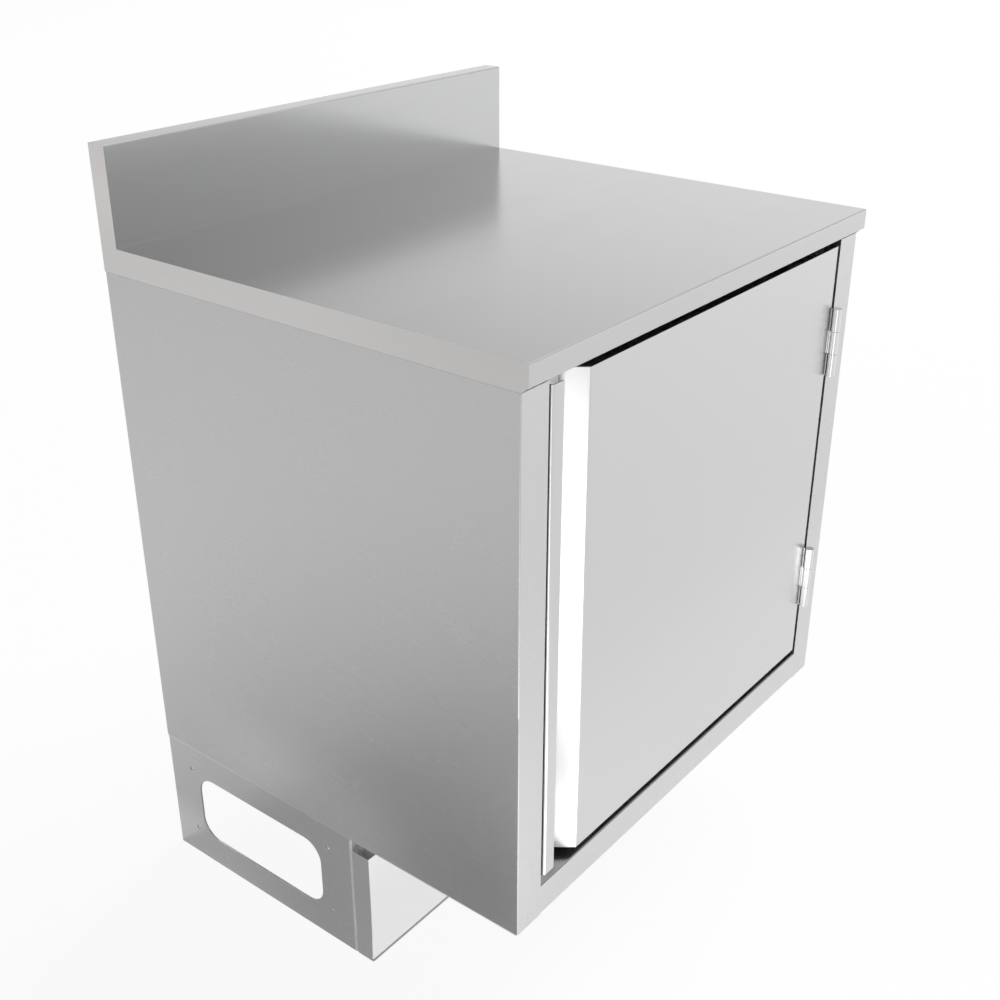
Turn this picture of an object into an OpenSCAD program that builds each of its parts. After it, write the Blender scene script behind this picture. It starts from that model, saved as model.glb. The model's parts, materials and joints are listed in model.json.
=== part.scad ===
// Free-standing underbar cabinet in sheet steel: deck with backsplash, hinged door with a
// full-height finger pull, raised base with windowed leg plates and a recessed kick panel.
// Millimetres. +X to the right, +Y towards the wall, +Z up. The origin is on the floor at
// the centre of the part's bounding box.

/* [Overall] */
// Width over both side panels
overall_w = 610; // [520:1:900]
// Depth from the deck's front edge to the wall face
overall_d = 538; // [460:1:640]
// Height of the deck's top surface above the floor
deck_top_z = 760; // [700:1:900]
// Clear height under the cabinet body
base_h = 162; // [150:1:220]

/* [Deck and backsplash] */
// Sheet thickness of the deck
deck_t = 1.6; // [1.2:0.1:2.5]
// Height of the folded nosing at the deck's front
nosing_h = 22; // [20:0.5:25]
// Height of the deck's side edges
side_edge_h = 26.6; // [26:0.1:34]
// How far the nosing stands in front of the cabinet body
nosing_overhang = 8; // [7:0.5:9]
// Air left between the nosing's lower return and the front frame
nosing_return_gap = 1; // [0.5:0.1:3]
// Height of the backsplash above the deck
splash_h = 102; // [60:1:200]
// Thickness of the backsplash
splash_t = 24; // [18:1:50]
// Depth of the lip folded down behind the backsplash
splash_lip = 20; // [10:1:50]
// Shadow gap between the deck's side edge and the side panel
deck_seam = 0.5; // [0.3:0.1:2]
// Width of each hat channel that stiffens the deck
hat_w = 60; // [40:1:100]
// Width of a hat channel's foot
hat_foot = 18; // [10:1:30]
// Sheet thickness of the hat channels
hat_t = 1.2; // [0.8:0.1:2]
// Front hat channel's centre behind the body's front
hat_front_setback = 165; // [120:1:200]
// Rear hat channel's centre in front of the wall face
hat_rear_setback = 150; // [80:1:180]

/* [Cabinet body] */
// Sheet thickness of side panels, back and floor
body_t = 1.2; // [0.8:0.1:2]
// Inside radius of the sheet bends
bend_r = 0.3; // [0.2:0.1:2]
// Width of the side panels' flanges at the top and rear
side_flange = 20; // [12:1:30]
// Width of the side panels' flanges at the bottom
bottom_flange = 25; // [20:1:35]
// Distance from the body's front to the start of the side panels' top flanges
top_flange_setback = 5; // [3:0.5:15]

/* [Front frame] */
// Sheet thickness of the top and bottom rails
rail_t = 1.5; // [1:0.1:2.5]
// Width of each stile's front face
stile_w = 38; // [30:1:60]
// How far the stiles stop below the tops of the side panels
stile_drop = 0.2; // [0:0.1:5]
// Height of the bottom rail's front face
bottom_rail_h = 37; // [25:1:60]
// How far the top rail stands behind the stiles' faces
top_rail_setback = 2; // [0:0.5:8]
// Depth of the rails' flanges that line the opening
rail_flange = 25; // [15:1:26]
// Width of the door stop folded inward behind the door
stop_w = 14; // [12:0.5:20]
// Space between the closed door's back and the stop
stop_gap = 2; // [1.5:0.1:4]

/* [Door] */
// Gap between the door and each stile
door_side_gap = 5; // [4.5:0.1:8]
// Gap between the door's top and the side panels' tops
door_top_gap = 6.2; // [3:0.1:12]
// Gap between the door's bottom and the bottom rail
door_bottom_gap = 8.9; // [3:0.1:12]
// Thickness of the closed double-skin door
door_d = 25; // [24.5:0.1:30]
// Sheet thickness of the door's outer skin
skin_t = 1.2; // [0.8:0.1:1.5]
// Sheet thickness of the door's inner liner
liner_t = 1; // [0.8:0.1:1.5]
// Width of the hat stiffener inside the door
stiffener_w = 80; // [50:1:120]
// Width of the stiffener's feet
stiffener_foot = 15; // [10:1:25]

/* [Finger pull] */
// Width of the lip at the door's free edge
lip_w = 16; // [12:0.5:25]
// Width of the mouth between the lip and the door's face
mouth_w = 38; // [30:0.5:55]
// Depth of the recess behind the face
pull_depth = 22; // [16:0.5:22]
// Angle of the recess's slanted wall from the face
pull_angle = 52; // [45:1:70]
// Inside radius of the rounded bend at the door's free edge
pull_edge_r = 2; // [0.3:0.1:3]

/* [Hinges] */
// Outer diameter of the hinge barrel
barrel_d = 10; // [8.5:0.1:12]
// Length of the hinge barrel
barrel_len = 79.4; // [60:0.1:110]
// Distance from the door's top down to the upper barrel
barrel_drop = 70.4; // [30:0.1:90]
// Distance from the door's bottom up to the lower barrel
barrel_rise = 66.1; // [30:0.1:90]
// Air between the barrel and the front faces
barrel_gap = 1; // [0.6:0.1:2]
// Diameter of the hinge pin
pin_d = 6; // [4:0.1:6.4]
// Radial play of the pin in its knuckles
pin_play = 0.05; // [0.02:0.01:0.1]
// Air between two knuckles
knuckle_seam = 0.3; // [0.2:0.1:0.6]
// Thickness of the hinge leaves
leaf_t = 1.8; // [1.4:0.1:2]
// How far the leaves reach behind the front faces
leaf_reach = 21; // [17:0.5:22]
// Diameter of the countersunk screws' shanks
screw_d = 4; // [3:0.1:5]
// Diameter of the countersunk screws' heads
screw_head_d = 7.2; // [6:0.1:8]
// Length of the countersunk screws
screw_len = 9; // [7:0.5:12]
// Distance between neighbouring screws in one leaf
screw_pitch = 28; // [18:1:36]
// Thickness of the tapped plate behind each leaf
backer_t = 3; // [2:0.1:5]

/* [Shelf] */
// Height of the shelf's top above the floor
shelf_z = 460; // [320:1:600]
// Sheet thickness of the shelf
shelf_t = 1.2; // [0.8:0.1:2]
// Depth of the shelf's folded front and rear edges
shelf_edge = 25; // [15:1:40]
// Distance from the body's front to the shelf's front edge
shelf_setback = 60; // [50:1:120]
// Air at each side and behind the shelf
shelf_gap = 1.5; // [1:0.1:3]
// Width of each leg of the ledges that carry the shelf
ledge_w = 20; // [12:1:30]
// Sheet thickness of the ledges
ledge_t = 1.5; // [1:0.1:2.5]

/* [Leg plates] */
// Length of each leg plate along the cabinet's depth
leg_len = 303.5; // [270:0.5:340]
// Sheet thickness of the leg plates
leg_t = 2; // [1.5:0.1:3]
// How far a leg plate lies inside the side panel's outer face
leg_inset = 1.2; // [0.5:0.1:4]
// Width of the leg plates' inward flanges
leg_flange = 26; // [24:1:35]
// Length of the service window in a leg plate
window_l = 203; // [120:1:210]
// Height of the service window
window_h = 88; // [60:1:100]
// Corner radius of the service window
window_r = 25; // [10:1:29]
// Diameter of the four fixing holes round the window
fix_hole_d = 5; // [4:0.1:8]
// Spacing of the fixing holes along the cabinet's depth
fix_pitch_y = 228.6; // [224:0.1:240]
// Spacing of the fixing holes in height
fix_pitch_z = 88.9; // [60:0.1:100]
// Height of the fixing holes' centre above the floor
fix_center_z = 84; // [70:1:86]

/* [Kick panel] */
// Distance from the deck's front edge back to the kick panel
kick_setback = 210; // [150:1:210]
// Height of the kick panel
kick_h = 146; // [110:1:147]
// Sheet thickness of the kick panel
kick_t = 1.2; // [0.8:0.1:2]
// Width of the tabs that are screwed to the leg plates
kick_tab = 20; // [18:1:24]
// Height of the lower pair of kick screws
kick_screw_low_z = 35; // [20:1:50]
// Height of the upper pair of kick screws
kick_screw_high_z = 110; // [80:1:125]

/* [Base bolts] */
// Thread diameter of the bolts and kick screws
bolt_d = 5; // [4:0.1:6]
// Width across the corners of bolt heads and nuts
bolt_head_d = 10; // [8:0.1:11]
// Height of bolt heads and nuts
bolt_head_h = 4; // [3:0.1:5]
// Distance from the outer bolts to the ends of a leg plate
bolt_end = 40; // [30:1:60]
// Distance from a leg plate's outer face to the middle of its base bolts
bolt_inset = 12.5; // [10:0.5:16]

/* [Catch and bumpers] */
// Height of the magnetic catch's centre above the floor
catch_z = 560; // [500:1:660]
// Height of the catch's housing
catch_h = 44; // [40:1:60]
// Width of the catch's magnet block
catch_block_w = 15; // [10:0.5:20]
// Depth of the magnet block behind the strike plate
catch_block_d = 12; // [8:0.5:14]
// Thickness of the catch's mounting plate
catch_plate_t = 2; // [1.5:0.1:3]
// Thickness of the strike plate on the door
strike_t = 1; // [0.8:0.1:1.2]
// Diameter of the rubber door bumpers
bumper_d = 9; // [6:0.5:10]
// Distance from each bumper to the nearer end of the door
bumper_inset = 45; // [20:1:80]

/* [Hidden] */

// Facets of a full round, and of a quarter bend
round_fn = 48;
bend_steps = 4;
// Overshoot of cutters past the faces that they cut
cut = 1;
// Running distance that is left where a moving piece passes or rests near a fixed one
rest_gap = 0.3;
// Play of a screw in the holes that it passes through
hole_play = 0.1;

half_w = overall_w / 2;
barrel_r = barrel_d / 2;
// The barrels stand this far in front of the nosing
barrel_stick = max(0, barrel_gap + barrel_d - nosing_overhang);
wall_y = (overall_d + barrel_stick) / 2;
deck_front_y = wall_y - overall_d;
front_y = deck_front_y + nosing_overhang;
splash_y = wall_y - splash_t;
splash_top_z = deck_top_z + splash_h;
deck_under_z = deck_top_z - deck_t;
nosing_z = deck_top_z - nosing_h;
side_edge_z = deck_top_z - side_edge_h;
body_top_z = side_edge_z - deck_seam;
stile_top_z = body_top_z - stile_drop;
inner_x = half_w - body_t;

opening_x = half_w - stile_w;
opening_z = base_h + bottom_rail_h;
opening_top_z = body_top_z;
floor_z = opening_z - rail_t;

door_x = opening_x - door_side_gap;
door_z = opening_z + door_bottom_gap;
door_top_z = opening_top_z - door_top_gap;
liner_y = front_y + door_d - liner_t;
door_back_y = front_y + door_d;
stop_y = door_back_y + stop_gap;

// Corners of the finger pull, on the visible face and on the back of the skin
lip_x = -door_x + lip_w;
mouth_x = lip_x + mouth_w;
pull_run = pull_depth / tan(pull_angle);
miter = skin_t * tan(pull_angle / 2);
pull_back_y = front_y + pull_depth + skin_t;
pull_foot_x = mouth_x - pull_run;

hinge_x = (door_x + opening_x) / 2;
hinge_y = front_y - barrel_gap - barrel_r;
hinge_upper_z = door_top_z - barrel_drop - barrel_len / 2;
hinge_lower_z = door_z + barrel_rise + barrel_len / 2;
knuckle_len = (barrel_len - 2 * knuckle_seam) / 3;
leaf_start = barrel_r + knuckle_seam;
leaf_screw_y = front_y + leaf_reach / 2 + leaf_t;

leg_x = half_w - leg_inset;
leg_front_y = wall_y - leg_len;
leg_mid_y = wall_y - leg_len / 2;
leg_bolt_x = leg_x - bolt_inset;
kick_y = deck_front_y + kick_setback;
kick_back_y = leg_front_y;
kick_screw_x = leg_x - kick_tab / 2 - kick_t;

ledge_top_z = shelf_z - shelf_t;
shelf_front_y = front_y + shelf_setback;
shelf_rear_y = wall_y - 2 * body_t - shelf_gap;
shelf_x = inner_x - shelf_gap;

// Vector helpers for sheet outlines
function unit(v) = v / norm(v);
function left_of(v) = [-v[1], v[0]];
function turn(a, b) = atan2(a[0] * b[1] - a[1] * b[0], a[0] * b[0] + a[1] * b[1]);

// One bend of a folded sheet. The drawn path is one face, and the sheet lies to its left.
// face is 0 for the drawn face and 1 for the other face, and inside is the bend's inside radius.
function bend(p, i, t, face, inside) =
  let (
    a = unit(p[i] - p[i - 1]),
    b = unit(p[i + 1] - p[i]),
    angle = turn(a, b),
    side = sign(angle),
    drawn_r = side > 0 ? inside + t : inside,
    r = drawn_r - side * t * face,
    centre = p[i] - a * drawn_r * tan(abs(angle) / 2) + left_of(a) * drawn_r * side,
    from = -left_of(a) * side
  )
  [for (k = [0 : bend_steps])
    let (q = angle * k / bend_steps)
    centre + r * [from[0] * cos(q) - from[1] * sin(q), from[0] * sin(q) + from[1] * cos(q)]];

// Inside radius of the bend at point i, where radii may name some that differ
function inside_r(radii, i) = i < len(radii) ? radii[i] : bend_r;

// One whole face of a folded sheet, with its bends rounded
function sheet_face(p, t, face, radii = []) =
  let (
    n = len(p),
    first = p[0] + left_of(unit(p[1] - p[0])) * t * face,
    last = p[n - 1] + left_of(unit(p[n - 1] - p[n - 2])) * t * face
  )
  concat([first], [for (i = [1 : n - 2]) each bend(p, i, t, face, inside_r(radii, i))], [last]);

function reversed(p) = [for (i = [len(p) - 1 : -1 : 0]) p[i]];

// Outline of a folded sheet
module sheet(p, t, radii = []) {
  polygon(concat(sheet_face(p, t, 0, radii), reversed(sheet_face(p, t, 1, radii))));
}

// Extrusions of an outline drawn in the plane that each name gives
module along_x(x0, x1) {
  translate([x0, 0, 0]) rotate([90, 0, 90]) linear_extrude(x1 - x0) children();
}

module along_y(y0, y1) {
  translate([0, y1, 0]) rotate([90, 0, 0]) linear_extrude(y1 - y0) children();
}

module along_z(z0, z1) {
  translate([0, 0, z0]) linear_extrude(z1 - z0) children();
}

// Block between two opposite corners
module block(a, b) {
  translate(a) cube(b - a);
}

// Round bar along X, Y or Z from a start point
module rod_x(p, r, length) {
  translate(p) rotate([0, 90, 0]) cylinder(r = r, h = length, $fn = round_fn);
}

module rod_y(p, r, length) {
  translate(p) rotate([-90, 0, 0]) cylinder(r = r, h = length, $fn = round_fn);
}

module rod_z(p, r, length) {
  translate(p) cylinder(r = r, h = length, $fn = round_fn);
}

// Left and right copies about the middle plane
module both_sides() {
  children();
  mirror([1, 0, 0]) children();
}

// Deck, nosing, side edges and backsplash, folded and welded from one sheet
deck_path = [
  [wall_y, splash_top_z - splash_lip],
  [wall_y, splash_top_z],
  [splash_y, splash_top_z],
  [splash_y, deck_top_z],
  [deck_front_y, deck_top_z],
  [deck_front_y, nosing_z],
  [front_y - nosing_return_gap, nosing_z]
];

module deck() {
  face = sheet_face(deck_path, deck_t, 0);
  front_part = [for (i = [0 : len(face) - 2]) face[i]];
  color("gainsboro") {
    along_x(-half_w, half_w) sheet(deck_path, deck_t);
    both_sides() along_x(-half_w, deck_t - half_w) {
      polygon(concat([[wall_y, side_edge_z]], front_part, [[front_y, side_edge_z]]));
    }
  }
}

// Hat channel between the deck's underside and the side panels' top flanges
module hat_channel(y) {
  foot_z = body_top_z + hat_t;
  color("darkgray") along_x(2 * deck_t - half_w, half_w - 2 * deck_t) {
    sheet([
      [y + hat_w / 2 + hat_foot, foot_z],
      [y + hat_w / 2, foot_z],
      [y + hat_w / 2, deck_under_z],
      [y - hat_w / 2, deck_under_z],
      [y - hat_w / 2, foot_z],
      [y - hat_w / 2 - hat_foot, foot_z]
    ], hat_t);
  }
}

// Left side panel with its stile, door stop and flanges folded from the same sheet
module side_sheet() {
  rear_y = wall_y - body_t;
  flange_y = front_y + top_flange_setback;
  along_z(base_h, stile_top_z) {
    sheet([
      [side_flange - half_w, rear_y],
      [-half_w, rear_y],
      [-half_w, front_y],
      [-opening_x, front_y]
    ], body_t);
  }
  along_z(opening_z, stile_top_z) {
    sheet([
      [-inner_x, front_y],
      [-opening_x, front_y],
      [-opening_x, stop_y],
      [stop_w - opening_x, stop_y]
    ], body_t);
  }
  along_z(base_h, body_top_z) {
    sheet([
      [side_flange - half_w, rear_y],
      [-half_w, rear_y],
      [-half_w, front_y + body_t + bend_r]
    ], body_t);
  }
  block([-inner_x, flange_y, body_top_z - body_t], [side_flange - half_w, rear_y, body_top_z]);
  block([-inner_x, front_y + body_t, base_h], [bottom_flange - half_w, rear_y, base_h + body_t]);
}

// Bolt places along a leg plate
bolt_ys = [leg_front_y + bolt_end, leg_mid_y, wall_y - bolt_end];

// Cutters for the bolts between leg plate and side panel
module base_bolt_holes() {
  for (y = bolt_ys) {
    rod_z([-leg_bolt_x, y, base_h - leg_t - cut], bolt_d / 2 + hole_play, leg_t + body_t + 2 * cut);
  }
}

module side_panel_left() {
  color("silver") difference() {
    side_sheet();
    base_bolt_holes();
    for (z = catch_screw_zs) {
      rod_y([-catch_screw_x, stop_y - cut, z], screw_d / 2 + hole_play, body_t + 2 * cut);
    }
  }
}

module side_panel_right() {
  color("silver") difference() {
    mirror([1, 0, 0]) side_sheet();
    mirror([1, 0, 0]) base_bolt_holes();
    for (z = leaf_screw_zs) {
      rod_x([opening_x - cut, leaf_screw_y, z], screw_d / 2 + hole_play, body_t + 2 * cut);
    }
  }
}

// Back panel, flush with the wall face, folded forward under the hollow backsplash
module back_panel() {
  color("silver") {
    block([-inner_x, wall_y - body_t, base_h], [inner_x, wall_y, body_top_z]);
    along_x(2 * deck_t - half_w, half_w - 2 * deck_t) {
      sheet([
        [wall_y, base_h],
        [wall_y, deck_top_z],
        [splash_y + deck_t + rest_gap, deck_top_z]
      ], body_t);
    }
  }
}

// Cabinet floor with its sides folded down onto the side panels' bottom flanges
module floor_pan() {
  color("silver") along_y(front_y + rail_t + bend_r, wall_y - 2 * body_t - bend_r) {
    sheet([
      [inner_x, base_h + body_t],
      [inner_x, floor_z],
      [-inner_x, floor_z],
      [-inner_x, base_h + body_t]
    ], body_t);
  }
}

// Bottom rail of the front frame, a channel between the stiles
module rail_bottom() {
  color("silver") along_x(-opening_x, opening_x) {
    sheet([
      [front_y + rail_flange, opening_z],
      [front_y, opening_z],
      [front_y, base_h],
      [front_y + side_flange, base_h]
    ], rail_t);
  }
}

// Top rail behind the nosing, a channel between the side panels' top flanges and the deck
module rail_top() {
  rail_y = front_y + top_rail_setback;
  color("silver") along_x(2 * deck_t - half_w, half_w - 2 * deck_t) {
    sheet([
      [rail_y + side_flange, deck_under_z],
      [rail_y, deck_under_z],
      [rail_y, body_top_z],
      [rail_y + rail_flange, body_top_z]
    ], rail_t);
  }
}

// Lift-out shelf with folded front and rear edges
module shelf() {
  color("silver") along_x(-shelf_x, shelf_x) {
    sheet([
      [shelf_rear_y, shelf_z - shelf_edge],
      [shelf_rear_y, shelf_z],
      [shelf_front_y, shelf_z],
      [shelf_front_y, shelf_z - shelf_edge]
    ], shelf_t);
  }
}

// Angle on a side panel that the shelf lies on
module shelf_ledge() {
  clear = shelf_t + bend_r + shelf_gap;
  along_y(shelf_front_y + clear, shelf_rear_y - clear) {
    sheet([
      [ledge_w - inner_x, ledge_top_z],
      [-inner_x, ledge_top_z],
      [-inner_x, ledge_top_z - ledge_w]
    ], ledge_t);
  }
}

module shelf_ledge_left() {
  color("darkgray") shelf_ledge();
}

module shelf_ledge_right() {
  color("darkgray") mirror([1, 0, 0]) shelf_ledge();
}

// Cutter for the rounded service window
module window_cutter() {
  dy = window_l / 2 - window_r;
  dz = window_h / 2 - window_r;
  x0 = -leg_x - cut;
  depth = leg_t + 2 * cut;
  mid_z = base_h / 2;
  block([x0, leg_mid_y - dy, mid_z - dz - window_r], [x0 + depth, leg_mid_y + dy, mid_z + dz + window_r]);
  block([x0, leg_mid_y - dy - window_r, mid_z - dz], [x0 + depth, leg_mid_y + dy + window_r, mid_z + dz]);
  for (y = [leg_mid_y - dy, leg_mid_y + dy], z = [mid_z - dz, mid_z + dz]) {
    rod_x([x0, y, z], window_r, depth);
  }
}

kick_screw_zs = [kick_screw_low_z, kick_screw_high_z];

// Left leg plate with inward flanges all round, a service window and fixing holes
module leg_plate() {
  difference() {
    union() {
      along_z(0, base_h) {
        sheet([
          [leg_flange - leg_x, wall_y],
          [-leg_x, wall_y],
          [-leg_x, leg_front_y],
          [leg_flange - leg_x, leg_front_y]
        ], leg_t);
      }
      for (z = [0, base_h - leg_t]) {
        block([-leg_x, leg_front_y + leg_t + bend_r, z], [leg_flange - leg_x, wall_y - leg_t - bend_r, z + leg_t]);
      }
    }
    window_cutter();
    for (y = [-0.5, 0.5], z = [-0.5, 0.5]) {
      rod_x(
        [-leg_x - cut, leg_mid_y + y * fix_pitch_y, fix_center_z + z * fix_pitch_z],
        fix_hole_d / 2,
        leg_t + 2 * cut
      );
    }
    base_bolt_holes();
    for (z = kick_screw_zs) {
      rod_y([-kick_screw_x, leg_front_y - cut, z], bolt_d / 2 + hole_play, leg_t + 2 * cut);
    }
  }
}

module leg_plate_left() {
  color("gray") leg_plate();
}

module leg_plate_right() {
  color("gray") mirror([1, 0, 0]) leg_plate();
}

// Hexagon head or nut standing on the XY plane
module hexagon() {
  cylinder(d = bolt_head_d, h = bolt_head_h, $fn = 6);
}

// Bolts and nuts that hold the leg plates to the side panels
module base_bolts() {
  grip = leg_t + body_t;
  color("dimgray") both_sides() for (y = bolt_ys) {
    translate([-leg_bolt_x, y, base_h - leg_t]) {
      translate([0, 0, -bolt_head_h]) hexagon();
      translate([0, 0, grip]) hexagon();
      rod_z([0, 0, -bolt_head_h / 2], bolt_d / 2, grip + 2 * bolt_head_h);
    }
  }
}

// Kick panel with returned ends, screw tabs and a folded top
module kick_panel() {
  color("gainsboro") difference() {
    union() {
      along_z(0, kick_h) {
        sheet([
          [kick_tab - leg_x, kick_back_y],
          [-leg_x, kick_back_y],
          [-leg_x, kick_y],
          [leg_x, kick_y],
          [leg_x, kick_back_y],
          [leg_x - kick_tab, kick_back_y]
        ], kick_t);
      }
      block(
        [kick_t - leg_x, kick_y + kick_t, kick_h - kick_t],
        [leg_x - kick_t, kick_back_y - kick_t - rest_gap, kick_h]
      );
    }
    both_sides() for (z = kick_screw_zs) {
      rod_y([-kick_screw_x, kick_back_y - kick_t - cut, z], bolt_d / 2 + hole_play, kick_t + 2 * cut);
    }
  }
}

// Screws and nuts that hold the kick panel's tabs
module kick_screws() {
  grip = kick_t + leg_t;
  color("dimgray") both_sides() for (z = kick_screw_zs) {
    translate([-kick_screw_x, kick_back_y - kick_t, z]) rotate([-90, 0, 0]) {
      translate([0, 0, -bolt_head_h]) hexagon();
      translate([0, 0, grip]) hexagon();
      rod_z([0, 0, -bolt_head_h / 2], bolt_d / 2, grip + bolt_head_h);
    }
  }
}

leaf_screw_zs = [for (c = [hinge_lower_z, hinge_upper_z], k = [-1 : 1]) c + k * screw_pitch];

// Countersunk screw along +X, its head flush with the YZ plane
module countersunk(play) {
  head_h = leaf_t - rest_gap;
  rotate([0, 90, 0]) {
    cylinder(d1 = screw_head_d + 2 * play, d2 = screw_d + 2 * play, h = head_h, $fn = round_fn);
    cylinder(d = screw_d + 2 * play, h = screw_len, $fn = round_fn);
  }
}

// Fixed leaf with the two outer knuckles, centred on z
module frame_leaf(z) {
  top = z + barrel_len / 2;
  bottom = z - barrel_len / 2;
  color("lightgray") difference() {
    union() {
      for (start = [bottom, top - knuckle_len]) {
        rod_z([hinge_x, hinge_y, start], barrel_r, knuckle_len);
        block([opening_x - leaf_t, hinge_y + barrel_r * 0.8, start], [opening_x, front_y, start + knuckle_len]);
      }
      block([opening_x - leaf_t, hinge_y + leaf_start, bottom], [opening_x, front_y + leaf_reach, top]);
    }
    rod_z([hinge_x, hinge_y, bottom - cut], pin_d / 2 + pin_play, barrel_len + 2 * cut);
    for (k = [-1 : 1]) {
      translate([opening_x - leaf_t, leaf_screw_y, z + k * screw_pitch]) countersunk(hole_play);
    }
  }
}

// Moving leaf with the middle knuckle, centred on z
module door_leaf(z) {
  start = z - knuckle_len / 2;
  color("lightgray") difference() {
    union() {
      rod_z([hinge_x, hinge_y, start], barrel_r, knuckle_len);
      block([door_x, hinge_y + barrel_r * 0.8, start], [door_x + leaf_t, front_y, start + knuckle_len]);
      block(
        [door_x, hinge_y + leaf_start, z - barrel_len / 2],
        [door_x + leaf_t, front_y + leaf_reach, z + barrel_len / 2]
      );
    }
    rod_z([hinge_x, hinge_y, start - cut], pin_d / 2 + pin_play, knuckle_len + 2 * cut);
    for (k = [-1 : 1]) {
      translate([door_x + leaf_t, leaf_screw_y, z + k * screw_pitch]) mirror([1, 0, 0]) countersunk(hole_play);
    }
  }
}

// Pin through all three knuckles
module hinge_pin(z) {
  color("lightgray") rod_z([hinge_x, hinge_y, z - barrel_len / 2], pin_d / 2, barrel_len);
}

// Tapped plate inside the stile or inside the door edge, from x towards +X
module backer(x, z) {
  color("dimgray") difference() {
    block(
      [x, leaf_screw_y - leaf_reach / 3, z - barrel_len / 2],
      [x + backer_t, leaf_screw_y + leaf_reach / 3, z + barrel_len / 2]
    );
    for (k = [-1 : 1]) {
      rod_x([x - cut, leaf_screw_y, z + k * screw_pitch], screw_d / 2 + hole_play, backer_t + 2 * cut);
    }
  }
}

module frame_leaf_upper() frame_leaf(hinge_upper_z);
module frame_leaf_lower() frame_leaf(hinge_lower_z);
module door_leaf_upper() door_leaf(hinge_upper_z);
module door_leaf_lower() door_leaf(hinge_lower_z);
module hinge_pin_upper() hinge_pin(hinge_upper_z);
module hinge_pin_lower() hinge_pin(hinge_lower_z);
module frame_backer_upper() backer(opening_x + body_t, hinge_upper_z);
module frame_backer_lower() backer(opening_x + body_t, hinge_lower_z);
module door_backer_upper() backer(door_x - skin_t - backer_t, hinge_upper_z);
module door_backer_lower() backer(door_x - skin_t - backer_t, hinge_lower_z);

module hinge_screws_frame() {
  color("gray") for (z = leaf_screw_zs) {
    translate([opening_x - leaf_t, leaf_screw_y, z]) countersunk(0);
  }
}

module hinge_screws_door() {
  color("gray") for (z = leaf_screw_zs) {
    translate([door_x + leaf_t, leaf_screw_y, z]) mirror([1, 0, 0]) countersunk(0);
  }
}

// Door skin: face and hinge edge folded from one sheet, with closed ends
module door_skin() {
  edge_x = door_x - skin_t;
  face_y = front_y + skin_t;
  color("gainsboro") difference() {
    union() {
      along_z(door_z, door_top_z) {
        sheet([
          [edge_x, liner_y],
          [edge_x, face_y],
          [mouth_x + 2 * miter, face_y]
        ], skin_t);
      }
      for (z = [door_z, door_top_z - skin_t]) {
        along_z(z, z + skin_t) {
          polygon([
            [door_x, liner_y],
            [door_x, front_y + skin_t + bend_r],
            [door_x - skin_t - bend_r, front_y],
            [mouth_x + 2 * miter, front_y],
            [mouth_x + 2 * miter, face_y],
            [pull_foot_x + miter, pull_back_y],
            [pull_foot_x + miter, liner_y]
          ]);
        }
      }
    }
    for (z = leaf_screw_zs) {
      rod_x([edge_x - cut, leaf_screw_y, z], screw_d / 2 + hole_play, skin_t + 2 * cut);
    }
  }
}

// Finger pull: slanted wall, recess floor, free edge and lip folded from one strip
module door_pull() {
  face_y = front_y + skin_t;
  color("gainsboro") along_z(door_z, door_top_z) {
    sheet([
      [mouth_x + 2 * miter, face_y],
      [mouth_x + miter, face_y],
      [pull_foot_x + miter, pull_back_y],
      [-door_x, pull_back_y],
      [-door_x, front_y],
      [lip_x, front_y]
    ], skin_t, [bend_r, bend_r, bend_r, bend_r, pull_edge_r]);
  }
}

// Flat inner liner with folded top and bottom edges
module door_liner() {
  flange_d = door_d / 3;
  color("silver") {
    block([-door_x, liner_y, door_z], [door_x, door_back_y, door_top_z]);
    for (z = [door_z + skin_t, door_top_z - skin_t - liner_t]) {
      block([mouth_x + 2 * skin_t, liner_y - flange_d, z], [door_x - 2 * skin_t, liner_y, z + liner_t]);
    }
  }
}

// Upright hat section between the skin and the liner
module door_stiffener() {
  foot_y = liner_y - skin_t;
  top_y = front_y + skin_t;
  end_gap = skin_t + liner_t + rest_gap;
  color("darkgray") along_z(door_z + end_gap, door_top_z - end_gap) {
    sheet([
      [-stiffener_w / 2 - stiffener_foot, foot_y],
      [-stiffener_w / 2, foot_y],
      [-stiffener_w / 2, top_y],
      [stiffener_w / 2, top_y],
      [stiffener_w / 2, foot_y],
      [stiffener_w / 2 + stiffener_foot, foot_y]
    ], skin_t);
  }
}

// The catch stands behind the left door stop and reaches past its edge
stop_edge_x = opening_x - stop_w;
catch_screw_x = opening_x - stop_w / 2;
catch_screw_zs = [catch_z - catch_h / 3, catch_z + catch_h / 3];
catch_block_x = stop_edge_x - rest_gap;

module catch_housing() {
  plate_y = stop_y + body_t;
  block_y = door_back_y + strike_t + rest_gap;
  color("dimgray") difference() {
    union() {
      block(
        [body_t - opening_x, plate_y, catch_z - catch_h / 2],
        [catch_block_w - catch_block_x, plate_y + catch_plate_t, catch_z + catch_h / 2]
      );
      block(
        [-catch_block_x, block_y, catch_z - catch_h / 2],
        [catch_block_w - catch_block_x, block_y + catch_block_d, catch_z + catch_h / 2]
      );
    }
    for (z = catch_screw_zs) {
      rod_y([-catch_screw_x, plate_y - cut, z], screw_d / 2 + hole_play, catch_plate_t + 2 * cut);
    }
  }
}

// Pan head screws through the catch's plate and the door stop
module catch_screws() {
  back_y = stop_y + body_t + catch_plate_t;
  color("gray") for (z = catch_screw_zs) {
    rod_y([-catch_screw_x, stop_y, z], screw_d / 2, back_y - stop_y + cut);
    rod_y([-catch_screw_x, back_y, z], screw_head_d / 2, catch_plate_t);
  }
}

// Rubber discs on the left door stop
module door_bumpers() {
  thickness = stop_gap - rest_gap;
  color("black") for (z = [door_z + bumper_inset, door_top_z - bumper_inset]) {
    rod_y([-catch_screw_x, stop_y - thickness, z], bumper_d / 2, thickness);
  }
}

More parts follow.
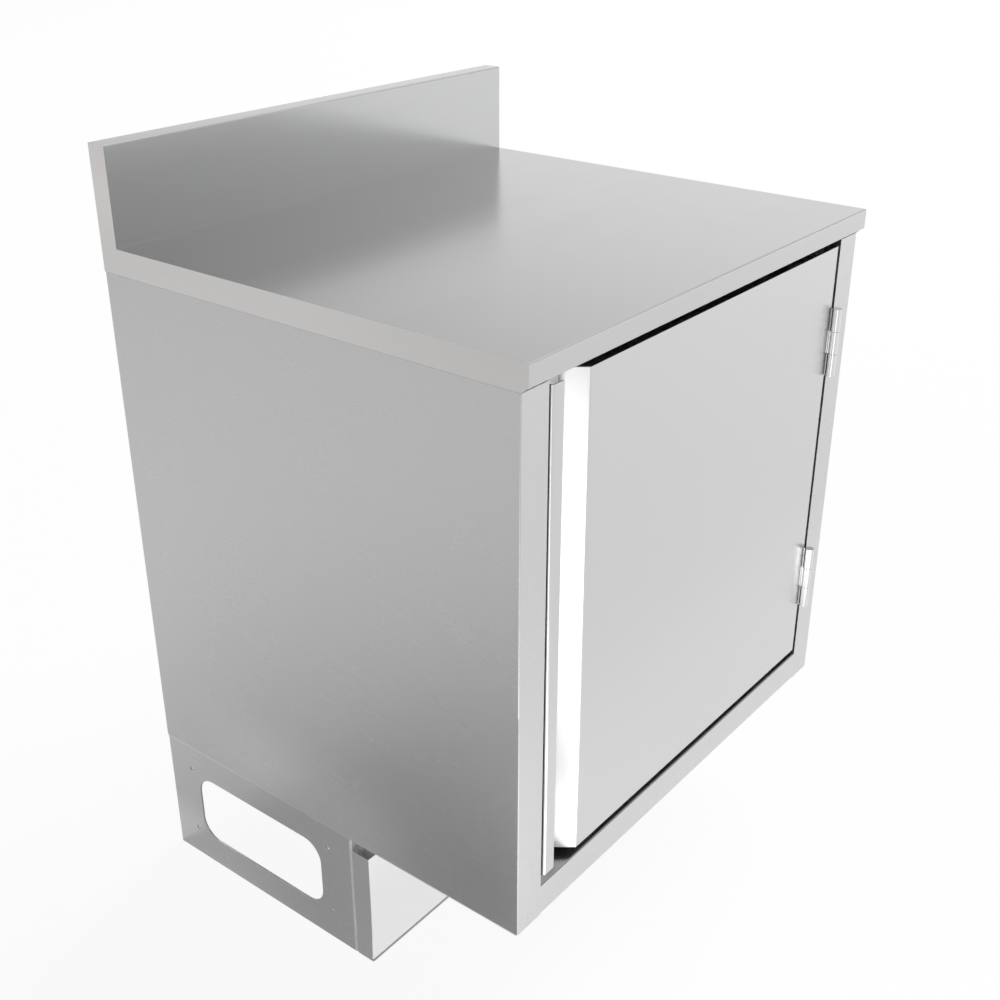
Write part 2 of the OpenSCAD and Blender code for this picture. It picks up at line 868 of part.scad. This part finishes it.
// Steel plate on the door's back that the magnet pulls on
module strike_plate() {
  color("gray") block(
    [-catch_block_x, door_back_y, catch_z - catch_h / 2],
    [catch_block_w - catch_block_x, door_back_y + strike_t, catch_z + catch_h / 2]
  );
}

module hat_channel_front() hat_channel(front_y + hat_front_setback);
module hat_channel_rear() hat_channel(wall_y - hat_rear_setback);

deck();
hat_channel_front();
hat_channel_rear();
side_panel_left();
side_panel_right();
back_panel();
floor_pan();
rail_bottom();
rail_top();
shelf();
shelf_ledge_left();
shelf_ledge_right();
leg_plate_left();
leg_plate_right();
base_bolts();
kick_panel();
kick_screws();
frame_backer_upper();
frame_backer_lower();
frame_leaf_upper();
frame_leaf_lower();
hinge_pin_upper();
hinge_pin_lower();
hinge_screws_frame();
catch_housing();
catch_screws();
door_bumpers();
door_skin();
door_pull();
door_liner();
door_stiffener();
door_backer_upper();
door_backer_lower();
door_leaf_upper();
door_leaf_lower();
hinge_screws_door();
strike_plate();
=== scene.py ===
import bpy
import json
from math import radians
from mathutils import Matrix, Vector

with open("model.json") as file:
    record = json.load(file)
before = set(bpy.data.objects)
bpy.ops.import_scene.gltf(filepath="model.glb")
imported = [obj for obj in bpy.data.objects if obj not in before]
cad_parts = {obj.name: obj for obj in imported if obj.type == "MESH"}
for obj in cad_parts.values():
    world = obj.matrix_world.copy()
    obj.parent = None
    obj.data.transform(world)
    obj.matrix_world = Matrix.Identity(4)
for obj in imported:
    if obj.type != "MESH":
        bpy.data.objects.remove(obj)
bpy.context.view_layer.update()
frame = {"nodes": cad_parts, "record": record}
nodes = frame["nodes"]
scene = bpy.context.scene
print("parts loaded:", len(nodes))


# small helpers for node trees
def addNode(tree, kind, place, **settings):
    node = tree.nodes.new(kind)
    node.location = place
    for key, value in settings.items():
        setattr(node, key, value)
    return node


def setInputs(node, **values):
    for key, value in values.items():
        node.inputs[key.replace("_", " ")].default_value = value


def newGroup(name, kind, inputs, outputs):
    group = bpy.data.node_groups.new(name, kind)
    for label, socket, value in inputs:
        made = group.interface.new_socket(label, in_out="INPUT", socket_type=socket)
        if value is not None:
            made.default_value = value
    for label, socket in outputs:
        group.interface.new_socket(label, in_out="OUTPUT", socket_type=socket)
    start = addNode(group, "NodeGroupInput", (-900, 0))
    end = addNode(group, "NodeGroupOutput", (700, 0))
    return group, start, end


def newShapeGroup(name):
    return newGroup(
        name,
        "GeometryNodeTree",
        [("Geometry", "NodeSocketGeometry", None)],
        [("Geometry", "NodeSocketGeometry")],
    )


def placeGroup(tree, group, place, **values):
    node = addNode(tree, "ShaderNodeGroup", place)
    node.node_tree = group
    setInputs(node, **values)
    return node


# folded bends and turned parts shade round, cut edges stay crisp
bendShading = {"joinWithin": 0.000005, "crispAbove": 32, "panelWeight": 50}


def makeBendShading():
    group, start, end = newShapeGroup("bendShading")
    merge = addNode(group, "GeometryNodeMergeByDistance", (-600, 0))
    setInputs(merge, Distance=bendShading["joinWithin"])
    plain = addNode(group, "GeometryNodeRemoveAttribute", (-400, 0))
    plain.inputs["Name"].default_value = "custom_normal"
    smooth = addNode(group, "GeometryNodeSetShadeSmooth", (-200, 0), domain="FACE")
    crisp = addNode(group, "GeometryNodeSetShadeSmooth", (200, 0), domain="EDGE")
    crisp.inputs["Shade Smooth"].default_value = False
    angle = addNode(group, "GeometryNodeInputMeshEdgeAngle", (-400, -300))
    sharp = addNode(group, "FunctionNodeCompare", (-200, -300), operation="GREATER_THAN")
    sharp.inputs["B"].default_value = radians(bendShading["crispAbove"])
    link = group.links.new
    link(start.outputs["Geometry"], merge.inputs["Geometry"])
    link(merge.outputs["Geometry"], plain.inputs["Geometry"])
    link(plain.outputs["Geometry"], smooth.inputs["Geometry"])
    link(smooth.outputs["Geometry"], crisp.inputs["Geometry"])
    link(angle.outputs["Unsigned Angle"], sharp.inputs["A"])
    link(sharp.outputs["Result"], crisp.inputs["Selection"])
    link(crisp.outputs["Geometry"], end.inputs["Geometry"])
    return group


# screwed down, the deck's side edges settle almost onto the side panels
deckSettled = {"below": 0.7345, "drop": 0.0004}


def makeSettled():
    group, start, end = newShapeGroup("deckSettled")
    place = addNode(group, "GeometryNodeInputPosition", (-700, -250))
    split = addNode(group, "ShaderNodeSeparateXYZ", (-500, -250))
    low = addNode(group, "FunctionNodeCompare", (-300, -250), operation="LESS_THAN")
    low.inputs["B"].default_value = deckSettled["below"]
    settle = addNode(group, "GeometryNodeSetPosition", (0, 0))
    settle.inputs["Offset"].default_value = (0, 0, -deckSettled["drop"])
    link = group.links.new
    link(place.outputs["Position"], split.inputs[0])
    link(split.outputs["Z"], low.inputs["A"])
    link(low.outputs["Result"], settle.inputs["Selection"])
    link(start.outputs["Geometry"], settle.inputs["Geometry"])
    link(settle.outputs["Geometry"], end.inputs["Geometry"])
    return group


nodes["deck"].modifiers.new("settled", "NODES").node_group = makeSettled()
bendGroup = makeBendShading()
for part in nodes.values():
    part.modifiers.new("bends", "NODES").node_group = bendGroup
    # wide flat panels stay flat beside their narrow bends
    flats = part.modifiers.new("flats", "WEIGHTED_NORMAL")
    flats.mode = "FACE_AREA"
    flats.weight = bendShading["panelWeight"]
    flats.keep_sharp = True
print("bends shaded")


# shared surface effects
effects = {
    "beltShare": 0.4,  # how much of a streak comes from the wide belt passes
    "markSpread": (0.42, 0.72),  # smear levels between which a wipe mark fades in
    "markTwist": 1.2,  # how far the smears are pulled about
    "edgeTurn": (0.99, 0.75),  # how far a face turns before it counts as an edge
    "streakRange": (0.3, 0.7),  # the streak levels that span the roughness
}


def makeBrushedGrain():
    group, start, end = newGroup(
        "brushedGrain",
        "ShaderNodeTree",
        [
            ("Coordinates", "NodeSocketVector", None),
            ("Lines", "NodeSocketFloat", 1600.0),  # strokes in a metre
            ("Bands", "NodeSocketFloat", 90.0),  # belt passes in a metre
        ],
        [("Height", "NodeSocketFloat"), ("Streak", "NodeSocketFloat")],
    )
    fine = addNode(group, "ShaderNodeTexNoise", (-600, 200))
    setInputs(fine, Detail=3.0, Roughness=0.6)
    bands = addNode(group, "ShaderNodeTexNoise", (-600, -200))
    setInputs(bands, Detail=2.0, Roughness=0.5)
    blend = addNode(group, "ShaderNodeMix", (-200, -50))
    setInputs(blend, Factor=effects["beltShare"])
    link = group.links.new
    link(start.outputs["Coordinates"], fine.inputs["Vector"])
    link(start.outputs["Coordinates"], bands.inputs["Vector"])
    link(start.outputs["Lines"], fine.inputs["Scale"])
    link(start.outputs["Bands"], bands.inputs["Scale"])
    link(fine.outputs["Fac"], blend.inputs[2])
    link(bands.outputs["Fac"], blend.inputs[3])
    link(fine.outputs["Fac"], end.inputs["Height"])
    link(blend.outputs[0], end.inputs["Streak"])
    return group


def makeWipeMarks():
    group, start, end = newGroup(
        "wipeMarks",
        "ShaderNodeTree",
        [
            ("Coordinates", "NodeSocketVector", None),
            ("Size", "NodeSocketFloat", 6.0),
            ("Amount", "NodeSocketFloat", 0.5),
        ],
        [("Marks", "NodeSocketFloat")],
    )
    smear = addNode(group, "ShaderNodeTexNoise", (-600, 100))
    setInputs(smear, Detail=4.0, Roughness=0.55, Distortion=effects["markTwist"])
    spread = addNode(group, "ShaderNodeMapRange", (-300, 100), interpolation_type="SMOOTHSTEP")
    faint, full = effects["markSpread"]
    setInputs(spread, From_Min=faint, From_Max=full)
    scaled = addNode(group, "ShaderNodeMath", (0, 100), operation="MULTIPLY")
    link = group.links.new
    link(start.outputs["Coordinates"], smear.inputs["Vector"])
    link(start.outputs["Size"], smear.inputs["Scale"])
    link(smear.outputs["Fac"], spread.inputs["Value"])
    link(spread.outputs["Result"], scaled.inputs[0])
    link(start.outputs["Amount"], scaled.inputs[1])
    link(scaled.outputs["Value"], end.inputs["Marks"])
    return group


# rubbed edge wear, and on the leg plates a painted highlight along the edges
def makeEdgeWearAndSheen():
    group, start, end = newGroup(
        "edgeWearAndSheen",
        "ShaderNodeTree",
        [
            ("Coordinates", "NodeSocketVector", None),
            ("Radius", "NodeSocketFloat", 0.0006),
            ("Breakup", "NodeSocketFloat", 160.0),
        ],
        [("Edge", "NodeSocketFloat"), ("Normal", "NodeSocketVector")],
    )
    rounded = addNode(group, "ShaderNodeBevel", (-650, 100), samples=4)
    surface = addNode(group, "ShaderNodeNewGeometry", (-650, -150))
    match = addNode(group, "ShaderNodeVectorMath", (-400, 0), operation="DOT_PRODUCT")
    turned = addNode(group, "ShaderNodeMapRange", (-200, 0))
    flat, turnedOver = effects["edgeTurn"]
    setInputs(turned, From_Min=flat, From_Max=turnedOver)
    rubbed = addNode(group, "ShaderNodeTexNoise", (-400, -350))
    setInputs(rubbed, Detail=2.0)
    kept = addNode(group, "ShaderNodeMath", (100, 0), operation="MULTIPLY")
    link = group.links.new
    link(start.outputs["Radius"], rounded.inputs["Radius"])
    link(rounded.outputs["Normal"], match.inputs[0])
    link(surface.outputs["Normal"], match.inputs[1])
    link(match.outputs["Value"], turned.inputs["Value"])
    link(start.outputs["Coordinates"], rubbed.inputs["Vector"])
    link(start.outputs["Breakup"], rubbed.inputs["Scale"])
    link(turned.outputs["Result"], kept.inputs[0])
    link(rubbed.outputs["Fac"], kept.inputs[1])
    link(kept.outputs["Value"], end.inputs["Edge"])
    link(rounded.outputs["Normal"], end.inputs["Normal"])
    return group


grainGroup = makeBrushedGrain()
marksGroup = makeWipeMarks()
wearAndSheenGroup = makeEdgeWearAndSheen()
print("surface effects ready")


def paintLightPatch(tree, where, tone, patch):
    # painted light and shade: another tone on faces that lean one way, within a stretch of the part
    link = tree.links.new
    lean = addNode(tree, "ShaderNodeVectorMath", (-500, 700), operation="DOT_PRODUCT")
    lean.inputs[1].default_value = patch["facing"]
    link(where.outputs["Normal"], lean.inputs[0])
    size = addNode(tree, "ShaderNodeMath", (-350, 700), operation="ABSOLUTE")
    link(lean.outputs["Value"], size.inputs[0])
    mask = addNode(tree, "ShaderNodeMapRange", (-200, 700))
    little, enough = patch["lean"]
    setInputs(mask, From_Min=little, From_Max=enough)
    link(size.outputs[0], mask.inputs["Value"])
    amount = mask.outputs["Result"]
    place = addNode(tree, "ShaderNodeSeparateXYZ", (-500, 900))
    link(where.outputs["Object"], place.inputs[0])
    for axis, start, full in patch["within"]:
        stretch = addNode(tree, "ShaderNodeMapRange", (-350, 900), interpolation_type="SMOOTHSTEP")
        setInputs(stretch, From_Min=start, From_Max=full)
        link(place.outputs[axis], stretch.inputs["Value"])
        both = addNode(tree, "ShaderNodeMath", (-50, 800), operation="MULTIPLY")
        link(amount, both.inputs[0])
        link(stretch.outputs["Result"], both.inputs[1])
        amount = both.outputs[0]
    mix = addNode(tree, "ShaderNodeMix", (100, 600), data_type="RGBA")
    mix.inputs[7].default_value = patch["tone"] + [1]
    link(amount, mix.inputs[0])
    link(tone, mix.inputs[6])
    return mix.outputs[2]


def brushedSteel(name, look):
    # belt-brushed stainless sheet, strokes running along look["grain"]
    mat = bpy.data.materials.new(name)
    mat.use_nodes = True
    tree = mat.node_tree
    link = tree.links.new
    steel = tree.nodes["Principled BSDF"]
    setInputs(steel, Metallic=1.0)
    where = addNode(tree, "ShaderNodeTexCoord", (-1500, 0))
    stretch = addNode(tree, "ShaderNodeMapping", (-1300, 150))
    stretch.inputs["Scale"].default_value = [
        look["stroke"] if axis == look["grain"] else 1.0 for axis in "xyz"
    ]
    link(where.outputs["Object"], stretch.inputs["Vector"])
    grain = placeGroup(tree, grainGroup, (-1050, 200), Lines=look["lines"], Bands=look["bands"])
    link(stretch.outputs["Vector"], grain.inputs["Coordinates"])
    marks = placeGroup(tree, marksGroup, (-1050, -50), Size=look["markSize"], Amount=look["marks"])
    link(where.outputs["Object"], marks.inputs["Coordinates"])
    wearAndSheen = placeGroup(tree, wearAndSheenGroup, (-1050, -300), Radius=look["edge"])
    link(where.outputs["Object"], wearAndSheen.inputs["Coordinates"])

    # strokes shift the tone a little; rubbed edges come up brighter, and where edgeTone is strong,
    # as on the leg plates, that is a painted highlight
    streakTone = addNode(tree, "ShaderNodeMix", (-700, 300), data_type="RGBA")
    darker, lighter = 1 - look["contrast"], 1 + look["contrast"]
    streakTone.inputs[6].default_value = [c * darker for c in look["tone"]] + [1]
    streakTone.inputs[7].default_value = [min(1, c * lighter) for c in look["tone"]] + [1]
    link(grain.outputs["Streak"], streakTone.inputs[0])
    edgeTone = addNode(tree, "ShaderNodeMix", (-450, 300), data_type="RGBA")
    edgeTone.inputs[7].default_value = look["edgeTone"] + [1]
    link(wearAndSheen.outputs["Edge"], edgeTone.inputs[0])
    link(streakTone.outputs[2], edgeTone.inputs[6])
    sheetTone = edgeTone.outputs[2]
    # painted highlights and shades go over the sheet's tone
    for patch in look["paintedLight"]:
        sheetTone = paintLightPatch(tree, where, sheetTone, patch)
    link(sheetTone, steel.inputs["Base Color"])

    # roughness follows the strokes and the wiped patches
    rough = addNode(tree, "ShaderNodeMapRange", (-700, 0))
    low, high = effects["streakRange"]
    smoothest, roughest = look["rough"] - look["spread"], look["rough"] + look["spread"]
    setInputs(rough, From_Min=low, From_Max=high, To_Min=smoothest, To_Max=roughest)
    link(grain.outputs["Streak"], rough.inputs["Value"])
    wiped = addNode(tree, "ShaderNodeMath", (-450, 0), operation="ADD")
    link(rough.outputs["Result"], wiped.inputs[0])
    link(marks.outputs["Marks"], wiped.inputs[1])
    link(wiped.outputs["Value"], steel.inputs["Roughness"])

    strokes = addNode(tree, "ShaderNodeBump", (-250, -250))
    setInputs(strokes, Strength=look["bump"], Distance=look["depth"])
    link(grain.outputs["Height"], strokes.inputs["Height"])
    link(wearAndSheen.outputs["Normal"], strokes.inputs["Normal"])
    link(strokes.outputs["Normal"], steel.inputs["Normal"])
    return mat


# a patch of painted light or shade lies on faces that look one way, and lean says how nearly they
# must;
# each stretch in within names an axis, where the patch starts and where it is full
sideways = {"facing": (1, 0, 0), "lean": (0.9, 0.98), "within": ()}
forwards = {"facing": (0, 1, 0), "lean": (0.9, 0.98), "within": ()}
frontBends = {"facing": (0, 1, 0), "lean": (0.2, 0.35), "within": ()}
aboveDeck, belowDeck = ("Z", 0.7611, 0.7612), ("Z", 0.7612, 0.7611)
deckPaintedLight = (
    # painted highlight: the deck's ends are painted lighter than its top, lightest up the
    # splashback
    {**sideways, "tone": [0.685, 0.67, 0.659]},
    {**sideways, "within": (("Z", 0.745, 0.82),), "tone": [0.765, 0.742, 0.734]},
    # painted shade: below the deck top the ends are painted darker towards the front
    {**sideways, "within": (belowDeck, ("Y", 0.05, -0.25)), "tone": [0.635, 0.62, 0.608]},
    # painted shade: the inside fold between deck and splashback is painted dark, hiding its bright
    # highlight
    {
        "facing": (0, -0.707, 0.707),
        "lean": (0.74, 0.84),
        "within": (("Y", 0.1999, 0.2), ("Z", 0.7801, 0.78)),
        "tone": [0.33, 0.33, 0.33],
    },
    # painted shade: the splashback's face is painted darker than the deck
    {**forwards, "within": (aboveDeck,), "tone": [0.547, 0.555, 0.551]},
)
bodyPaintedLight = (
    # painted shade low down at the front of the side panels, and a painted highlight low down in
    # the middle
    {**sideways, "within": (("Z", 0.36, 0.18), ("Y", -0.02, -0.24)), "tone": [0.472, 0.466, 0.472]},
    {
        **sideways,
        "within": (("Z", 0.28, 0.19), ("Y", -0.14, -0.02), ("Y", 0.24, 0.06)),
        "tone": [0.704, 0.694, 0.706],
    },
    # painted shade: the front bends are painted darker than the sheet, and darker still low down
    {**frontBends, "tone": [0.49, 0.49, 0.49]},
    {**frontBends, "within": (("Z", 0.4201, 0.42),), "tone": [0.3, 0.3, 0.3]},
    # painted highlight: the stiles and the other faces looking forwards or back are painted lighter
    # than the side panels
    {**forwards, "tone": [0.655, 0.655, 0.655]},
    # painted highlight along the lower edges of the side panels
    {
        **sideways,
        "lean": (0.3, 0.6),
        "within": (("Z", 0.1633, 0.1632),),
        "tone": [0.78, 0.77, 0.76],
    },
)
legPaintedLight = (
    # painted highlight low down at the rear, and a painted highlight along the front bend
    {**sideways, "within": (("Z", 0.09, 0.03), ("Y", 0.0, 0.2)), "tone": [0.775, 0.765, 0.775]},
    {
        **sideways,
        "lean": (0.2, 0.4),
        "within": (("Y", -0.0297, -0.0298),),
        "tone": [0.86, 0.86, 0.86],
    },
)

# one look per finish, in the maker's own terms
sheetLook = {
    "tone": [0.63, 0.63, 0.63],
    "edgeTone": [0.7, 0.7, 0.7],
    "grain": "z",
    "stroke": 0.012,
    "lines": 1600.0,
    "bands": 60.0,
    "contrast": 0.012,
    "rough": 0.27,
    "spread": 0.02,
    "marks": 0.02,
    "markSize": 7.0,
    "edge": 0.0006,
    "bump": 0.05,
    "depth": 0.00001,
    "paintedLight": (),
}
# the body and the leg plates are smoother sheet, brushed along the depth
evenLook = {"grain": "y", "bump": 0.014, "spread": 0.005, "marks": 0.01}
finishes = {
    "deck_steel": {
        "grain": "x",
        "tone": [0.6, 0.601, 0.6],
        "rough": 0.2,
        "edge": 0.0002,
        "paintedLight": deckPaintedLight,
    },
    "body_steel": {
        **evenLook,
        "tone": [0.604, 0.595, 0.604],
        "edge": 0.0004,
        "contrast": 0.007,
        "paintedLight": bodyPaintedLight,
    },
    "door_steel": {"grain": "z", "tone": [0.66, 0.66, 0.658], "rough": 0.24},
    "inner_steel": {"grain": "x", "tone": [0.72, 0.72, 0.715], "rough": 0.34, "marks": 0.05},
    "leg_steel": {
        **evenLook,
        "tone": [0.63, 0.619, 0.629],
        # the leg plates' wide, bright edge tone is a painted highlight along their edges
        "edge": 0.0012,
        "edgeTone": [0.9, 0.9, 0.9],
        "paintedLight": legPaintedLight,
    },
    "kick_steel": {"grain": "x", "tone": [0.64, 0.64, 0.64], "rough": 0.24},
    "hinge_steel": {
        "grain": "z",
        "tone": [0.76, 0.76, 0.755],
        "rough": 0.12,
        "stroke": 0.05,
        "edge": 0.0002,
    },
    "fastener_steel": {
        "grain": "z",
        "tone": [0.6, 0.6, 0.6],
        "rough": 0.3,
        "stroke": 0.3,
        "edge": 0.0002,
    },
    "strike_steel": {"grain": "z", "tone": [0.55, 0.56, 0.57], "rough": 0.35, "edge": 0.0003},
}
materials = {}
for slotName, change in finishes.items():
    materials[slotName] = brushedSteel(slotName.replace("_s", "S"), {**sheetLook, **change})
print("steel finishes:", len(materials))

mouldedLook = {
    "catch_plastic": {"tone": [0.045, 0.043, 0.041], "rough": 0.42, "speck": 900.0, "bump": 0.25},
    "rubber": {"tone": [0.03, 0.03, 0.03], "rough": 0.75, "speck": 500.0, "bump": 0.4},
}
# what every moulded skin shares
mouldSkin = {
    "markSize": 40.0,
    "marks": 0.12,
    "edge": 0.0004,
    "depth": 0.00003,
    "darkest": 0.8,
    "lightest": 1.3,
}


def moulded(name, look):
    # moulded nylon or rubber with a fine spark texture
    mat = bpy.data.materials.new(name)
    mat.use_nodes = True
    tree = mat.node_tree
    link = tree.links.new
    skin = tree.nodes["Principled BSDF"]
    where = addNode(tree, "ShaderNodeTexCoord", (-1300, 0))
    speck = addNode(tree, "ShaderNodeTexNoise", (-1000, 150))
    setInputs(speck, Scale=look["speck"], Detail=3.0)
    marks = placeGroup(tree, marksGroup, (-1000, -150), Size=mouldSkin["markSize"])
    setInputs(marks, Amount=mouldSkin["marks"])
    wearAndSheen = placeGroup(tree, wearAndSheenGroup, (-1000, -400), Radius=mouldSkin["edge"])
    for target in (speck.inputs["Vector"], marks.inputs["Coordinates"], wearAndSheen.inputs["Coordinates"]):
        link(where.outputs["Object"], target)
    tone = addNode(tree, "ShaderNodeMix", (-600, 200), data_type="RGBA")
    tone.inputs[6].default_value = [c * mouldSkin["darkest"] for c in look["tone"]] + [1]
    tone.inputs[7].default_value = [c * mouldSkin["lightest"] for c in look["tone"]] + [1]
    link(speck.outputs["Fac"], tone.inputs[0])
    link(tone.outputs[2], skin.inputs["Base Color"])
    rough = addNode(tree, "ShaderNodeMath", (-600, -50), operation="ADD")
    rough.inputs[1].default_value = look["rough"]
    link(marks.outputs["Marks"], rough.inputs[0])
    link(rough.outputs["Value"], skin.inputs["Roughness"])
    bump = addNode(tree, "ShaderNodeBump", (-300, -250))
    setInputs(bump, Strength=look["bump"], Distance=mouldSkin["depth"])
    link(speck.outputs["Fac"], bump.inputs["Height"])
    link(wearAndSheen.outputs["Normal"], bump.inputs["Normal"])
    link(bump.outputs["Normal"], skin.inputs["Normal"])
    return mat


for slotName, look in mouldedLook.items():
    materials[slotName] = moulded(slotName.replace("_p", "P"), look)

# each part takes the finish that the record gives it
slotOf = {row["node"]: row["material_slot"] for row in frame["record"]["subparts"]}
for nodeName, part in nodes.items():
    part.data.materials.clear()
    part.data.materials.append(materials[slotOf.get(nodeName, "body_steel")])
print("finishes applied")


# studio
studio = {
    "floorSize": 30.0,
    "floorTone": [0.9, 0.9, 0.9, 1],
    "floorSeen": 0.92,  # share of the floor's own white that the camera sees
    "floorInSteel": 0.2,  # share of it that the metal mirrors
    "room": 0.3,  # soft light from all round
    "roomLean": (1.12, 0.05, -1.53),  # the metal sees the room brighter to the right and lower down
    "roomMiddle": 0.4,  # its level before that lean is added
    "roomRange": (0.4, 1.0),  # its darkest and brightest
    "ceiling": (0.36, 0.6, 1.0),  # heights between which an even white ceiling takes over
    "keyPlace": (12.0, -2.2, 12.6),
    "keyTarget": (0, 0, 0.2),
    "keySize": 14.0,
    "keyPower": 3250.0,
}
# white cards lying low and facing up, seen only in the metal
cards = {
    "pullCard": {"place": (-1.06, -0.98, 0.02), "size": (1.96, 0.32), "turn": 26.0, "power": 3.6},
    "kickCard": {"place": (0.0, -0.165, 0.004), "size": (0.66, 0.22), "turn": 0.0, "power": 0.33},
    "frontCard": {"place": (0.35, -0.43, 0.003), "size": (1.3, 0.3), "turn": 0.0, "power": 0.08},
}
# one more stands in front of the lower hinge and faces it
hingeCard = {
    "place": (-0.12, -0.62, 0.07),
    "size": (0.75, 0.14),
    "towards": (0.26, -0.27, 0.2),
    "power": 0.28,
}


def mostOf(tree, values):
    # the largest of several values
    found = values[0]
    for number, value in enumerate(values[1:]):
        pick = addNode(tree, "ShaderNodeMath", (-600 + 150 * number, 100), operation="MAXIMUM")
        tree.links.new(found, pick.inputs[0])
        tree.links.new(value, pick.inputs[1])
        found = pick.outputs[0]
    return found


def makeFloor():
    bpy.ops.object.select_all(action="DESELECT")
    bpy.ops.mesh.primitive_plane_add(size=studio["floorSize"], location=(0, 0, 0))
    floor = bpy.context.object
    floor.name = "studioFloor"
    mat = bpy.data.materials.new("paleFloor")
    mat.use_nodes = True
    tree = mat.node_tree
    link = tree.links.new
    tree.nodes.remove(tree.nodes["Principled BSDF"])
    out = tree.nodes["Material Output"]
    matt = addNode(tree, "ShaderNodeBsdfDiffuse", (-300, 100))
    matt.inputs["Color"].default_value = studio["floorTone"]
    glow = addNode(tree, "ShaderNodeEmission", (-300, -100))
    path = addNode(tree, "ShaderNodeLightPath", (-1100, 200))
    shares = []
    rays = (
        ("Is Camera Ray", "floorSeen"),
        ("Is Transmission Ray", "floorSeen"),
        ("Is Glossy Ray", "floorInSteel"),
    )
    for number, (ray, share) in enumerate(rays):
        part = addNode(tree, "ShaderNodeMath", (-800, 300 - 200 * number), operation="MULTIPLY")
        part.inputs[1].default_value = studio[share]
        link(path.outputs[ray], part.inputs[0])
        shares.append(part.outputs[0])
    most = mostOf(tree, shares)
    mix = addNode(tree, "ShaderNodeMixShader", (0, 0))
    link(most, mix.inputs[0])
    link(matt.outputs[0], mix.inputs[1])
    link(glow.outputs[0], mix.inputs[2])
    link(mix.outputs[0], out.inputs["Surface"])
    floor.data.materials.append(mat)


def makeRoom():
    # white where the camera looks, a softer ceiling in the metal
    world = bpy.data.worlds.new("studioRoom")
    scene.world = world
    world.use_nodes = True
    tree = world.node_tree
    link = tree.links.new
    back = tree.nodes["Background"]
    back.inputs["Color"].default_value = (1, 1, 1, 1)
    path = addNode(tree, "ShaderNodeLightPath", (-1100, 200))
    where = addNode(tree, "ShaderNodeTexCoord", (-1100, -150))
    lean = addNode(tree, "ShaderNodeVectorMath", (-900, -150), operation="DOT_PRODUCT")
    lean.inputs[1].default_value = studio["roomLean"]
    raised = addNode(tree, "ShaderNodeMath", (-750, -150), operation="ADD")
    raised.inputs[1].default_value = studio["roomMiddle"]
    held = addNode(tree, "ShaderNodeClamp", (-600, -150))
    setInputs(held, Min=studio["roomRange"][0], Max=studio["roomRange"][1])
    split = addNode(tree, "ShaderNodeSeparateXYZ", (-900, -400))
    ceiling = addNode(tree, "ShaderNodeMapRange", (-700, -400), interpolation_type="SMOOTHSTEP")
    low, high, bright = studio["ceiling"]
    setInputs(ceiling, From_Min=low, From_Max=high, To_Min=0.0, To_Max=bright)
    inMetal = addNode(tree, "ShaderNodeMath", (-450, -50), operation="MULTIPLY")
    link(where.outputs["Generated"], lean.inputs[0])
    link(where.outputs["Generated"], split.inputs[0])
    link(split.outputs["Z"], ceiling.inputs["Value"])
    link(lean.outputs["Value"], raised.inputs[0])
    link(raised.outputs[0], held.inputs["Value"])
    link(mostOf(tree, [held.outputs["Result"], ceiling.outputs["Result"]]), inMetal.inputs[0])
    link(path.outputs["Is Glossy Ray"], inMetal.inputs[1])
    plain = addNode(tree, "ShaderNodeMath", (-450, -250), operation="MAXIMUM")
    plain.inputs[1].default_value = studio["room"]
    link(inMetal.outputs[0], plain.inputs[0])
    seen, through = path.outputs["Is Camera Ray"], path.outputs["Is Transmission Ray"]
    link(mostOf(tree, [seen, through, plain.outputs[0]]), back.inputs["Strength"])


def aimAt(thing, target):
    thing.rotation_euler = (Vector(target) - thing.location).to_track_quat("-Z", "Y").to_euler()


def addCard(name, card):
    bpy.ops.object.light_add(type="AREA", location=card["place"])
    lamp = bpy.context.object
    lamp.name = name
    lamp.data.shape = "RECTANGLE"
    lamp.data.size, lamp.data.size_y = card["size"]
    lamp.data.energy = card["power"]
    lamp.visible_camera = False
    return lamp


def makeLamps():
    bpy.ops.object.light_add(type="AREA", location=studio["keyPlace"])
    key = bpy.context.object
    key.name = "keyLamp"
    key.data.size = studio["keySize"]
    key.data.energy = studio["keyPower"]
    aimAt(key, studio["keyTarget"])
    key.visible_camera = False
    key.visible_glossy = False

    # low cards fill the finger pull, the kick panel and the lower hinge
    for name, card in cards.items():
        addCard(name, card).rotation_euler = (radians(180), 0, radians(card["turn"]))
    aimAt(addCard("hingeCard", hingeCard), hingeCard["towards"])


makeFloor()
makeRoom()
makeLamps()
print("studio ready")


# camera, standing front left and a little above the deck
shot = {
    "place": (-1.0896, -0.8606, 1.1312),
    "tilt": 63.536,
    "heading": -51.587,
    "lens": 48.4,
    "sensor": 36,
    "nearest": 0.01,
}
turn = (radians(shot["tilt"]), 0, radians(shot["heading"]))
bpy.ops.object.camera_add(location=shot["place"], rotation=turn)
camera = bpy.context.object
camera.name = "shopCamera"
camera.data.sensor_width = shot["sensor"]
camera.data.lens = shot["lens"]
camera.data.clip_start = shot["nearest"]
scene.camera = camera
scene.view_settings.view_transform = "Standard"
print("camera ready")
